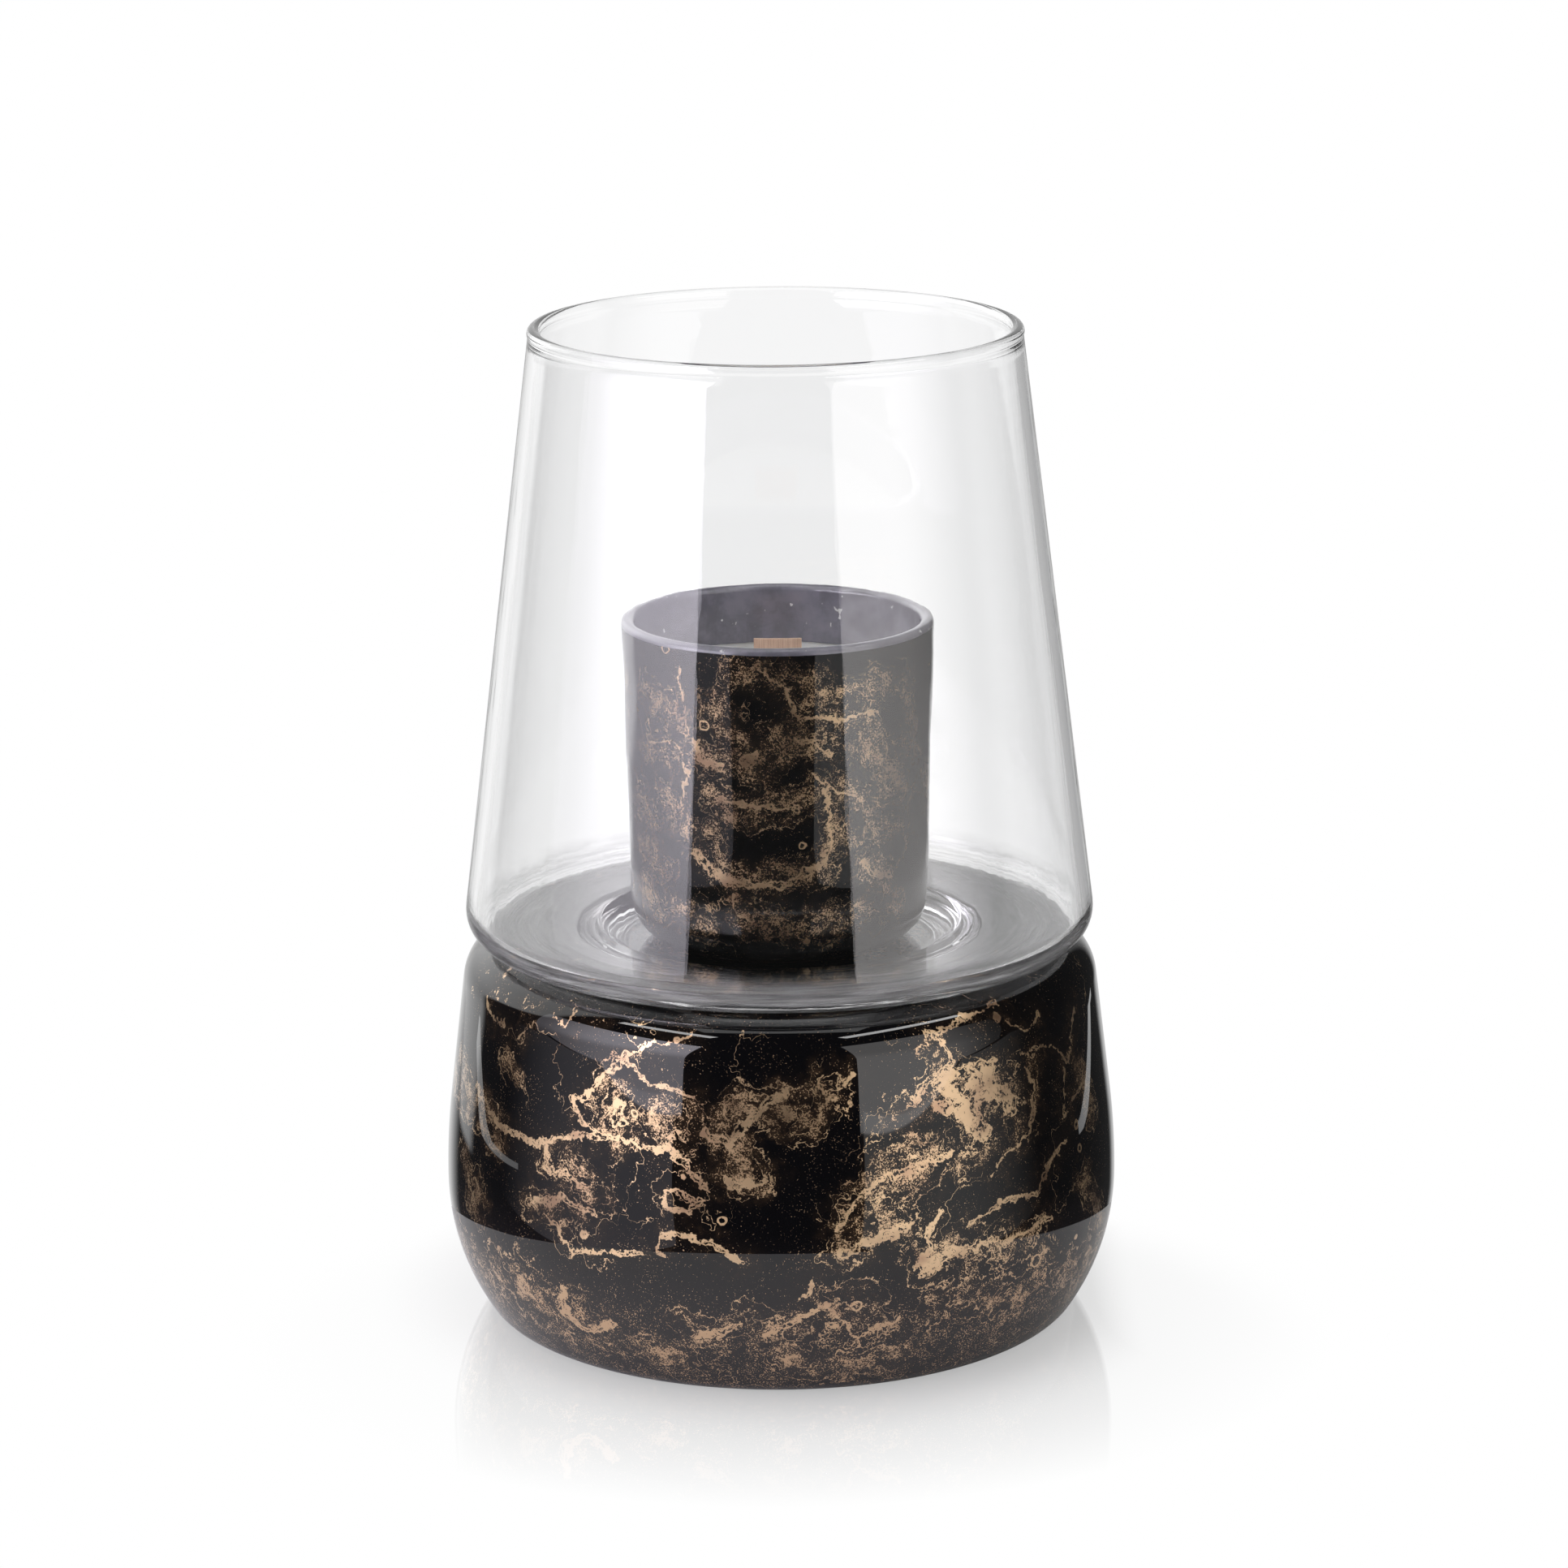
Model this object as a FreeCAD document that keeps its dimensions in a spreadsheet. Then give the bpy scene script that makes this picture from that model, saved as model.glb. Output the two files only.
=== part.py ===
import FreeCAD, Part
import math
import os

import Sketcher

# Hurricane candle lantern: a marbled glass base, a clear glass shade standing on it,
# and a poured candle in a glass tumbler that stands in the well of the shade's floor.
# Millimetres, +Z up, origin in the middle of the base's underside.

doc = FreeCAD.newDocument("hurricane_lantern")
sheet = doc.addObject("Spreadsheet::Sheet", "dims")

SIZES = [
    # Base vessel
    ("base_height", "104.3", "underside to the flat top that carries the shade"),
    ("belly_radius", "92.15", "widest radius of the base"),
    ("belly_height", "37", "height of the widest radius"),
    ("lower_curve", "61", "radius of the curve from the belly down to the foot"),
    ("upper_curve", "190", "radius of the curve from the belly up to the straight side"),
    ("upper_curve_rise", "23", "height of that curve above the belly"),
    ("base_wall", "4", "wall of the base"),
    ("base_floor", "6", "thickness of the base's bottom"),
    ("punt_radius", "58", "radius of the hollow under the base"),
    ("punt_depth", "1.5", "depth of the hollow under the base"),
    ("foot_round", "8", "rounding of the outer foot"),
    ("shoulder_round", "12", "rounding of the outer shoulder"),
    ("base_inner_round", "8", "rounding inside the base's shoulder and foot"),
    ("mouth_round", "1.5", "rounding of the mouth's edges"),
    # Hurricane shade
    ("shade_height", "167.7", "seat on the base to the top of the rim"),
    ("shade_foot_radius", "86.7", "radius where the outer wall meets the seat, before rounding"),
    ("shade_rim_radius", "64.5", "middle of the wall at the rim"),
    ("shade_wall", "3", "wall of the shade"),
    ("rim_bead_proud", "0.23", "how far the fire-polished rim stands proud of the wall"),
    ("shade_floor", "4", "thickness of the shade's flat floor"),
    ("heel_round", "8.3", "rounding of the shade's outer heel"),
    ("heel_inner_round", "5.5", "rounding inside the heel"),
    ("well_radius", "49.5", "inside radius of the candle's well"),
    ("well_wall", "3", "wall of the well"),
    ("well_drop", "4.3", "how far the well hangs below the seat"),
    ("well_glass", "4", "thickness of the well's bottom"),
    ("well_lip_round", "1.6", "rounding of the well's lip"),
    ("well_corner_round", "1.2", "rounding inside the well's bottom corner"),
    ("well_edge_round", "2.5", "rounding under the well"),
    ("mouth_clearance", "1.5", "gap between the well and the base's mouth"),
    # Candle
    ("jar_height", "88.8", "height of the tumbler"),
    ("jar_rim_radius", "42.2", "outer radius at the rim"),
    ("jar_foot_radius", "40", "outer radius at the bottom, before rounding"),
    ("jar_wall", "3.5", "wall of the tumbler"),
    ("jar_bottom", "5", "thickness of the tumbler's bottom"),
    ("jar_heel_round", "11", "rounding of the outer heel"),
    ("jar_inner_round", "8", "rounding inside the bottom"),
    ("rim_rounding", "0.48", "rounding of the tumbler's rim as a share of its wall"),
    ("wax_depth", "67.4", "depth of the wax"),
    ("wax_gap", "0.2", "gap between the wax and the glass, wick and clip"),
    ("wick_width", "12.7", "width of the wooden wick"),
    ("wick_thickness", "1", "thickness of the wooden wick"),
    ("wick_stand", "10", "height of the wick above the wax"),
    ("clip_radius", "10", "radius of the clip's foot"),
    ("clip_sheet", "0.5", "sheet thickness of the clip"),
    ("clip_sleeve", "6", "height of the clip's sleeve above its foot"),
    ("clip_fit", "0.05", "gap on each side of the wick in the clip"),
    ("sticker_thickness", "1", "thickness of the adhesive tab"),
]

for row, (alias, number, meaning) in enumerate(SIZES, start=1):
    sheet.set("A%d" % row, meaning)
    sheet.set("B%d" % row, number)
    sheet.setAlias("B%d" % row, alias)
doc.recompute()

# Heights of the stack, written once and shared by every piece that stands in it
SHADE_Z = "(dims.base_height - dims.well_drop)"
JAR_Z = "(%s + dims.well_glass)" % SHADE_Z
WAX_Z = "(%s + dims.jar_bottom)" % JAR_Z
CLIP_Z = "(%s + dims.sticker_thickness)" % WAX_Z
WICK_Z = "(%s + dims.clip_sheet)" % CLIP_Z

ON_AXIS = "0"


def number_of(text):
    return float(sheet.evalExpression(text))


def new_body(label, height_text):
    body = doc.addObject("PartDesign::Body", label)
    body.Label = label
    body.setExpression("Placement.Base.z", height_text)
    return body


def origin_plane(body, role):
    return next(feature for feature in body.Origin.OriginFeatures if feature.Role == role)


def new_sketch(body, name, role):
    sketch = body.newObject("Sketcher::SketchObject", name)
    sketch.AttachmentSupport = [(origin_plane(body, role), "")]
    sketch.MapMode = "FlatFace"
    return sketch


def arc_between(start, end, radius, side, long_way):
    """Arc from start to end. side +1 puts its centre left of the way from start to end."""
    middle = (start + end) * 0.5
    along = end - start
    half = along.Length / 2
    left = FreeCAD.Vector(-along.y, along.x, 0).normalize()
    reach = math.sqrt(radius * radius - half * half)
    if long_way:
        reach = -reach
    centre = middle + left * (side * reach)
    first, last = (start, end) if side > 0 else (end, start)
    first_angle = math.atan2(first.y - centre.y, first.x - centre.x)
    last_angle = math.atan2(last.y - centre.y, last.x - centre.x)
    if last_angle <= first_angle:
        last_angle += 2 * math.pi
    circle = Part.Circle(centre, FreeCAD.Vector(0, 0, 1), radius)
    return Part.ArcOfCircle(circle, first_angle, last_angle)


def pin_point(sketch, edge, end, x_text, y_text):
    """Hold one end of an edge at its distances from the sketch's origin."""
    pairs = (("DistanceX", x_text, -2), ("DistanceY", y_text, -1))
    for kind, text, axis in pairs:
        if text == ON_AXIS:
            sketch.addConstraint(Sketcher.Constraint("PointOnObject", edge, end, axis))
            continue
        datum = number_of(text)
        index = sketch.addConstraint(Sketcher.Constraint(kind, -1, 1, edge, end, datum))
        sketch.setExpression("Constraints[%d]" % index, text)


def closed_profile(sketch, corners):
    """Draw corners (x, y) or (x, y, arc to the next corner), every one held by the sheet."""
    points = [FreeCAD.Vector(number_of(c[0]), number_of(c[1]), 0) for c in corners]
    ends = []
    for index, corner in enumerate(corners):
        start = points[index]
        end = points[(index + 1) % len(points)]
        if len(corner) == 2:
            edge = sketch.addGeometry(Part.LineSegment(start, end), False)
            ends.append((edge, 1, 2))
            continue
        radius_text, side, long_way = corner[2]
        arc = arc_between(start, end, number_of(radius_text), side, long_way)
        edge = sketch.addGeometry(arc, False)
        ends.append((edge, 1, 2) if side > 0 else (edge, 2, 1))
    for index, (edge, first, last) in enumerate(ends):
        before = ends[index - 1]
        sketch.addConstraint(Sketcher.Constraint("Coincident", before[0], before[2], edge, first))
        pin_point(sketch, edge, first, corners[index][0], corners[index][1])
    for (edge, first, last), corner in zip(ends, corners):
        if len(corner) == 3:
            radius_text = corner[2][0]
            index = sketch.addConstraint(Sketcher.Constraint("Radius", edge, number_of(radius_text)))
            sketch.setExpression("Constraints[%d]" % index, radius_text)


def turned(body, corners):
    """Revolve a closed half section about the body's own Z axis."""
    sketch = new_sketch(body, body.Label + "_section", "XZ_Plane")
    closed_profile(sketch, corners)
    turn = body.newObject("PartDesign::Revolution", body.Label + "_turn")
    turn.Profile = sketch
    turn.ReferenceAxis = (sketch, ["V_Axis"])
    turn.Angle = 360
    sketch.Visibility = False
    doc.recompute()
    return turn


def round_edge(body, x_text, z_text, radius_text):
    """Fillet the circular edge of the body's last feature at radius x and height z."""
    base = body.Tip
    radius = number_of(x_text)
    height = number_of(z_text)
    near = 0.01
    names = []
    for index, edge in enumerate(base.Shape.Edges, start=1):
        curve = edge.Curve
        if not isinstance(curve, Part.Circle):
            continue
        same_radius = abs(curve.Radius - radius) < near
        if same_radius and abs(curve.Center.z - height) < near and edge.isClosed():
            names.append("Edge%d" % index)
    if len(names) != 1:
        raise RuntimeError("%s: %d edges at %s, %s" % (body.Label, len(names), x_text, z_text))
    fillet = body.newObject("PartDesign::Fillet", body.Label + "_round")
    fillet.Base = (base, names)
    fillet.setExpression("Radius", radius_text)
    doc.recompute()


def rectangle(sketch, width_text, depth_text):
    """Rectangle centred on the sketch's origin."""
    half_width = number_of(width_text) / 2
    half_depth = number_of(depth_text) / 2
    signs = ((-1, -1), (1, -1), (1, 1), (-1, 1))
    points = [FreeCAD.Vector(sx * half_width, sy * half_depth, 0) for sx, sy in signs]
    edges = []
    for start, end in zip(points, points[1:] + points[:1]):
        edges.append(sketch.addGeometry(Part.LineSegment(start, end), False))
    for index, edge in enumerate(edges):
        sketch.addConstraint(Sketcher.Constraint("Coincident", edges[index - 1], 2, edge, 1))
    for edge in edges[0::2]:
        sketch.addConstraint(Sketcher.Constraint("Horizontal", edge))
    for edge in edges[1::2]:
        sketch.addConstraint(Sketcher.Constraint("Vertical", edge))
    sketch.addConstraint(Sketcher.Constraint("Symmetric", edges[0], 1, edges[2], 1, -1, 1))
    sizes = (("DistanceX", edges[0], width_text), ("DistanceY", edges[1], depth_text))
    for kind, edge, text in sizes:
        index = sketch.addConstraint(Sketcher.Constraint(kind, edge, 1, edge, 2, number_of(text)))
        sketch.setExpression("Constraints[%d]" % index, text)


def disc(sketch, radius_text):
    centre = FreeCAD.Vector(0, 0, 0)
    circle = Part.Circle(centre, FreeCAD.Vector(0, 0, 1), number_of(radius_text))
    edge = sketch.addGeometry(circle, False)
    sketch.addConstraint(Sketcher.Constraint("Coincident", edge, 3, -1, 1))
    index = sketch.addConstraint(Sketcher.Constraint("Radius", edge, number_of(radius_text)))
    sketch.setExpression("Constraints[%d]" % index, radius_text)


def padded(body, sketch, length_text):
    pad = body.newObject("PartDesign::Pad", sketch.Name + "_pad")
    pad.Profile = sketch
    pad.setExpression("Length", length_text)
    doc.recompute()
    return pad


def cut_upwards(body, sketch, length_text):
    """Pocket from the sketch plane upwards. It has to take material away."""
    before = body.Tip.Shape.Volume
    pocket = body.newObject("PartDesign::Pocket", sketch.Name + "_cut")
    pocket.Profile = sketch
    pocket.Reversed = True
    pocket.setExpression("Length", length_text)
    doc.recompute()
    if not pocket.Shape.Volume < before:
        raise RuntimeError(body.Label + ": the cut took nothing away")


def make_base_vessel():
    body = new_body("base_vessel", ON_AXIS)
    mouth = "(dims.well_radius + dims.well_wall + dims.mouth_clearance)"
    flange_under = "(dims.base_height - dims.base_wall)"
    # Side of the base: two curves that meet upright at the belly, then a straight run to the top
    lower_centre = "(dims.belly_radius - dims.lower_curve)"
    upper_centre = "(dims.belly_radius - dims.upper_curve)"
    lower_inner = "(dims.lower_curve - dims.base_wall)"
    upper_inner = "(dims.upper_curve - dims.base_wall)"
    belly_inner = "(dims.belly_radius - dims.base_wall)"
    rise = "dims.upper_curve_rise"
    run = "sqrt(dims.upper_curve^2 - %s^2)" % rise
    lean = "(%s / %s)" % (rise, run)
    upright = "(%s / dims.upper_curve)" % run
    side_z = "(dims.belly_height + %s)" % rise
    side_x = "(%s + %s)" % (upper_centre, run)
    side_inner_x = "(%s + %s * %s)" % (upper_centre, upper_inner, upright)
    side_inner_z = "(dims.belly_height + %s * %s / dims.upper_curve)" % (upper_inner, rise)
    top_x = "(%s - %s * (dims.base_height - %s))" % (side_x, lean, side_z)
    under_x = "(%s + %s * dims.base_wall - dims.base_wall / %s)" % (top_x, lean, upright)
    foot_x = "(%s + sqrt(dims.lower_curve^2 - dims.belly_height^2))" % lower_centre
    floor_drop = "(dims.belly_height - dims.base_floor)"
    floor_x = "(%s + sqrt(%s^2 - %s^2))" % (lower_centre, lower_inner, floor_drop)
    punt_edge = "(dims.punt_radius + dims.punt_depth)"
    turned(body, [
        (ON_AXIS, "dims.punt_depth"),
        ("dims.punt_radius", "dims.punt_depth"),
        (punt_edge, ON_AXIS),
        (foot_x, ON_AXIS, ("dims.lower_curve", 1, False)),
        ("dims.belly_radius", "dims.belly_height", ("dims.upper_curve", 1, False)),
        (side_x, side_z),
        (top_x, "dims.base_height"),
        (mouth, "dims.base_height"),
        (mouth, flange_under),
        (under_x, flange_under),
        (side_inner_x, side_inner_z, (upper_inner, -1, False)),
        (belly_inner, "dims.belly_height", (lower_inner, -1, False)),
        (floor_x, "dims.base_floor"),
        (ON_AXIS, "dims.base_floor"),
    ])
    round_edge(body, top_x, "dims.base_height", "dims.shoulder_round")
    round_edge(body, under_x, flange_under, "dims.base_inner_round")
    round_edge(body, foot_x, ON_AXIS, "dims.foot_round")
    round_edge(body, floor_x, "dims.base_floor", "dims.base_inner_round")
    round_edge(body, mouth, "dims.base_height", "dims.mouth_round")
    round_edge(body, mouth, flange_under, "dims.mouth_round")
    return body


def make_hurricane_shade():
    body = new_body("hurricane_shade", SHADE_Z)
    half_wall = "(dims.shade_wall / 2)"
    bead = "(%s + dims.rim_bead_proud)" % half_wall
    bead_z = "(dims.well_drop + dims.shade_height - %s)" % bead
    neck_z = "(%s - sqrt(%s^2 - %s^2))" % (bead_z, bead, half_wall)
    neck_out = "(dims.shade_rim_radius + %s)" % half_wall
    neck_in = "(dims.shade_rim_radius - %s)" % half_wall
    floor_top = "(dims.well_drop + dims.shade_floor)"
    # The inner wall stands one wall inside the outer one, measured along the floor
    lean = "((dims.shade_foot_radius - %s) / (%s - dims.well_drop))" % (neck_out, neck_z)
    foot_in = "(dims.shade_foot_radius - dims.shade_floor * %s - dims.shade_wall)" % lean
    well_out = "(dims.well_radius + dims.well_wall)"
    turned(body, [
        (ON_AXIS, ON_AXIS),
        (well_out, ON_AXIS),
        (well_out, "dims.well_drop"),
        ("dims.shade_foot_radius", "dims.well_drop"),
        (neck_out, neck_z, (bead, 1, True)),
        (neck_in, neck_z),
        (foot_in, floor_top),
        ("dims.well_radius", floor_top),
        ("dims.well_radius", "dims.well_glass"),
        (ON_AXIS, "dims.well_glass"),
    ])
    round_edge(body, "dims.shade_foot_radius", "dims.well_drop", "dims.heel_round")
    round_edge(body, foot_in, floor_top, "dims.heel_inner_round")
    round_edge(body, "dims.well_radius", floor_top, "dims.well_lip_round")
    round_edge(body, "dims.well_radius", "dims.well_glass", "dims.well_corner_round")
    round_edge(body, well_out, ON_AXIS, "dims.well_edge_round")
    return body


def jar_inside(height_text):
    """Inside radius of the tumbler at a height above its bottom."""
    spread = "(dims.jar_rim_radius - dims.jar_foot_radius)"
    share = "((%s - dims.jar_bottom) / (dims.jar_height - dims.jar_bottom))" % height_text
    return "(dims.jar_foot_radius - dims.jar_wall + %s * %s)" % (spread, share)


def make_candle_jar():
    body = new_body("candle_jar", JAR_Z)
    rim_round = "(dims.jar_wall * dims.rim_rounding)"
    rim_in = jar_inside("dims.jar_height")
    foot_in = jar_inside("dims.jar_bottom")
    turned(body, [
        (ON_AXIS, ON_AXIS),
        ("dims.jar_foot_radius", ON_AXIS),
        ("dims.jar_rim_radius", "dims.jar_height"),
        (rim_in, "dims.jar_height"),
        (foot_in, "dims.jar_bottom"),
        (ON_AXIS, "dims.jar_bottom"),
    ])
    round_edge(body, "dims.jar_foot_radius", ON_AXIS, "dims.jar_heel_round")
    round_edge(body, foot_in, "dims.jar_bottom", "dims.jar_inner_round")
    round_edge(body, "dims.jar_rim_radius", "dims.jar_height", rim_round)
    round_edge(body, rim_in, "dims.jar_height", rim_round)
    return body


# Outside of the clip's sleeve, and the slot in it for the wick
SLOT_WIDTH = "(dims.wick_width + 2 * dims.clip_fit)"
SLOT_DEPTH = "(dims.wick_thickness + 2 * dims.clip_fit)"
SLEEVE_WIDTH = "(%s + 2 * dims.clip_sheet)" % SLOT_WIDTH
SLEEVE_DEPTH = "(%s + 2 * dims.clip_sheet)" % SLOT_DEPTH
SLEEVE_TOP = "(dims.clip_sheet + dims.clip_sleeve)"


def make_wax_fill():
    body = new_body("wax_fill", WAX_Z)
    bottom_x = "(%s - dims.wax_gap)" % jar_inside("dims.jar_bottom")
    top_x = "(%s - dims.wax_gap)" % jar_inside("(dims.jar_bottom + dims.wax_depth)")
    foot_x = "(dims.clip_radius + dims.wax_gap)"
    foot_z = "(dims.sticker_thickness + dims.clip_sheet + dims.wax_gap)"
    sleeve_z = "(dims.sticker_thickness + %s + dims.wax_gap)" % SLEEVE_TOP
    turned(body, [
        (ON_AXIS, foot_z),
        (foot_x, foot_z),
        (foot_x, ON_AXIS),
        (bottom_x, ON_AXIS),
        (top_x, "dims.wax_depth"),
        (ON_AXIS, "dims.wax_depth"),
    ])
    round_edge(body, bottom_x, ON_AXIS, "dims.jar_inner_round")
    sleeve = new_sketch(body, "wax_sleeve_room", "XY_Plane")
    rectangle(sleeve, "(%s + 2 * dims.wax_gap)" % SLEEVE_WIDTH, "(%s + 2 * dims.wax_gap)" % SLEEVE_DEPTH)
    cut_upwards(body, sleeve, sleeve_z)
    slot = new_sketch(body, "wax_wick_room", "XY_Plane")
    rectangle(slot, "(dims.wick_width + 2 * dims.wax_gap)", "(dims.wick_thickness + 2 * dims.wax_gap)")
    cut_upwards(body, slot, "(dims.wax_depth + dims.wick_stand)")
    return body


def make_wood_wick():
    body = new_body("wood_wick", WICK_Z)
    section = new_sketch(body, "wick_section", "XY_Plane")
    rectangle(section, "dims.wick_width", "dims.wick_thickness")
    below = "(dims.sticker_thickness + dims.clip_sheet)"
    padded(body, section, "(dims.wax_depth + dims.wick_stand - %s)" % below)
    return body


def make_wick_clip():
    body = new_body("wick_clip", CLIP_Z)
    foot = new_sketch(body, "clip_foot", "XY_Plane")
    disc(foot, "dims.clip_radius")
    padded(body, foot, "dims.clip_sheet")
    sleeve = new_sketch(body, "clip_sleeve_section", "XY_Plane")
    rectangle(sleeve, SLEEVE_WIDTH, SLEEVE_DEPTH)
    padded(body, sleeve, SLEEVE_TOP)
    slot = new_sketch(body, "clip_slot", "XY_Plane")
    slot.setExpression("AttachmentOffset.Base.z", "dims.clip_sheet")
    rectangle(slot, SLOT_WIDTH, SLOT_DEPTH)
    cut_upwards(body, slot, SLEEVE_TOP)
    return body


def make_wick_sticker():
    tab = doc.addObject("Part::Cylinder", "wick_sticker")
    tab.Label = "wick_sticker"
    tab.setExpression("Radius", "dims.clip_radius")
    tab.setExpression("Height", "dims.sticker_thickness")
    tab.setExpression("Placement.Base.z", WAX_Z)
    return tab


pieces = [
    make_base_vessel(),
    make_hurricane_shade(),
    make_candle_jar(),
    make_wax_fill(),
    make_wood_wick(),
    make_wick_clip(),
    make_wick_sticker(),
]
doc.recompute()

for item in doc.Objects:
    if "Invalid" in item.State or "Error" in item.State:
        raise RuntimeError("%s is in state %s" % (item.Label, item.State))
for piece in pieces:
    shape = piece.Shape
    if shape.isNull() or not shape.isValid() or len(shape.Solids) != 1:
        raise RuntimeError("%s has no single valid solid" % piece.Label)

os.makedirs("parts", exist_ok=True)
for piece in pieces:
    piece.Shape.exportStep(os.path.join("parts", piece.Label + ".step"))
    box = piece.Shape.optimalBoundingBox()
    print("%s: %.1f mm3, z %.2f to %.2f, radius %.2f" % (
        piece.Label, piece.Shape.Volume, box.ZMin, box.ZMax, box.XMax))
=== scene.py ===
import math

import bmesh
import bpy
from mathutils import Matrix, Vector


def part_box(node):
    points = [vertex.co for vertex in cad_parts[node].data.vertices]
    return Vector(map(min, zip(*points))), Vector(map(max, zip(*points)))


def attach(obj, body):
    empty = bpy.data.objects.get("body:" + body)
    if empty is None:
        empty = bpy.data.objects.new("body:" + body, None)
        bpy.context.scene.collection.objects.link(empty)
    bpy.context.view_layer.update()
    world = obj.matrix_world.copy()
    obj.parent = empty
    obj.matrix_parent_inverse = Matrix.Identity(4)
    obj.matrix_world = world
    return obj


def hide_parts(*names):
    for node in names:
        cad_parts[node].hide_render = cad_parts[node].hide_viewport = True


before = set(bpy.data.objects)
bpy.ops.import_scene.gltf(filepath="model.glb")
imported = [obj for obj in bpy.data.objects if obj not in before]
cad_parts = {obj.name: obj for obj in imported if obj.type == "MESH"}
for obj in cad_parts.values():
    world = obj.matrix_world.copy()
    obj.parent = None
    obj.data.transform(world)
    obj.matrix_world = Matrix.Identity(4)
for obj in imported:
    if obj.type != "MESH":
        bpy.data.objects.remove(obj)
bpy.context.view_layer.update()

# Hurricane candle lantern. Metres, +Z up, the lantern's axis on Z and the viewer on -Y.
MM = 0.001
TURN_STEPS = 192

base_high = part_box("base_vessel")[1]
shade_low, shade_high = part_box("hurricane_shade")
jar_low, jar_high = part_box("candle_jar")
wax_low, wax_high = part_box("wax_fill")
wick_low, wick_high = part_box("wood_wick")


class Section:
    """Half section of a turned piece, drawn in the XZ plane from its first corner onwards."""

    def __init__(self, x, z):
        self.bm = bmesh.new()
        self.tip = self.bm.verts.new((x, 0, z))
        self.corners = []

    def line(self, x, z, rounding=0):
        made = bmesh.ops.extrude_vert_indiv(self.bm, verts=[self.tip])
        self.tip = made["verts"][0]
        self.tip.co = (x, 0, z)
        if rounding:
            self.corners.append((self.tip, rounding))

    def arc(self, centre_x, centre_z, degrees, steps):
        """Carry the tip round a centre. Positive degrees go from +X towards +Z."""
        made = bmesh.ops.spin(
            self.bm, geom=[self.tip], cent=(centre_x, 0, centre_z), axis=(0, -1, 0),
            angle=math.radians(degrees), steps=steps)
        self.tip = made["geom_last"][0]

    def round_corners(self, segments):
        for corner, radius in self.corners:
            before, after = [edge.other_vert(corner).co - corner.co for edge in corner.link_edges]
            turn = math.pi - before.angle(after)
            bmesh.ops.bevel(
                self.bm, geom=[corner], offset=radius * math.tan(turn / 2), offset_type="OFFSET",
                segments=segments, profile=0.5, affect="VERTICES", material=-1)

    def divide(self, longest):
        """Split long straight runs, so that smooth shading stays true beside tight roundings."""
        for edge in list(self.bm.edges):
            cuts = int(edge.calc_length() / longest)
            if cuts:
                bmesh.ops.subdivide_edges(self.bm, edges=[edge], cuts=cuts)

    def turned(self, name, rounding_segments=10, longest=4 * MM):
        self.round_corners(rounding_segments)
        self.divide(longest)
        bmesh.ops.spin(
            self.bm, geom=self.bm.verts[:] + self.bm.edges[:], cent=(0, 0, 0), axis=(0, 0, 1),
            angle=2 * math.pi, steps=TURN_STEPS, use_merge=True)
        bmesh.ops.remove_doubles(self.bm, verts=self.bm.verts, dist=1e-6)
        bmesh.ops.recalc_face_normals(self.bm, faces=self.bm.faces)
        return finished(self.bm, name)


def finished(bm, name):
    """Turn a bmesh into a smooth shaded object at the origin."""
    mesh = bpy.data.meshes.new(name)
    bm.to_mesh(mesh)
    bm.free()
    mesh.shade_smooth()
    piece = bpy.data.objects.new(name, mesh)
    bpy.context.scene.collection.objects.link(piece)
    return piece


def stand_for(piece, node, body):
    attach(piece, body)
    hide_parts(node)


# Base vessel: punt, rounded foot, belly, straight side, shoulder, in-turned top and open mouth
BELLY_RADIUS = base_high.x
BELLY_HEIGHT = 37 * MM
LOWER_CURVE = 61 * MM
UPPER_CURVE = 190 * MM
UPPER_RISE = 23 * MM
BASE_WALL = 4 * MM
BASE_FLOOR = 6 * MM
PUNT_RADIUS = 58 * MM
PUNT_DEPTH = 1.5 * MM
FOOT_ROUND = 8 * MM
SHOULDER_ROUND = 12 * MM
INNER_ROUND = 8 * MM
MOUTH_RADIUS = 54 * MM
MOUTH_ROUND = 1.5 * MM


def foot_arc(curve, level, rounding):
    """Centre of a rounding that runs from a level floor into the lower curve, and where they meet."""
    drop = BELLY_HEIGHT - level - rounding
    across = math.sqrt((curve - rounding) ** 2 - drop ** 2)
    meeting = math.degrees(math.asin(drop / (curve - rounding)))
    return BELLY_RADIUS - LOWER_CURVE + across, level + rounding, meeting


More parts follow.
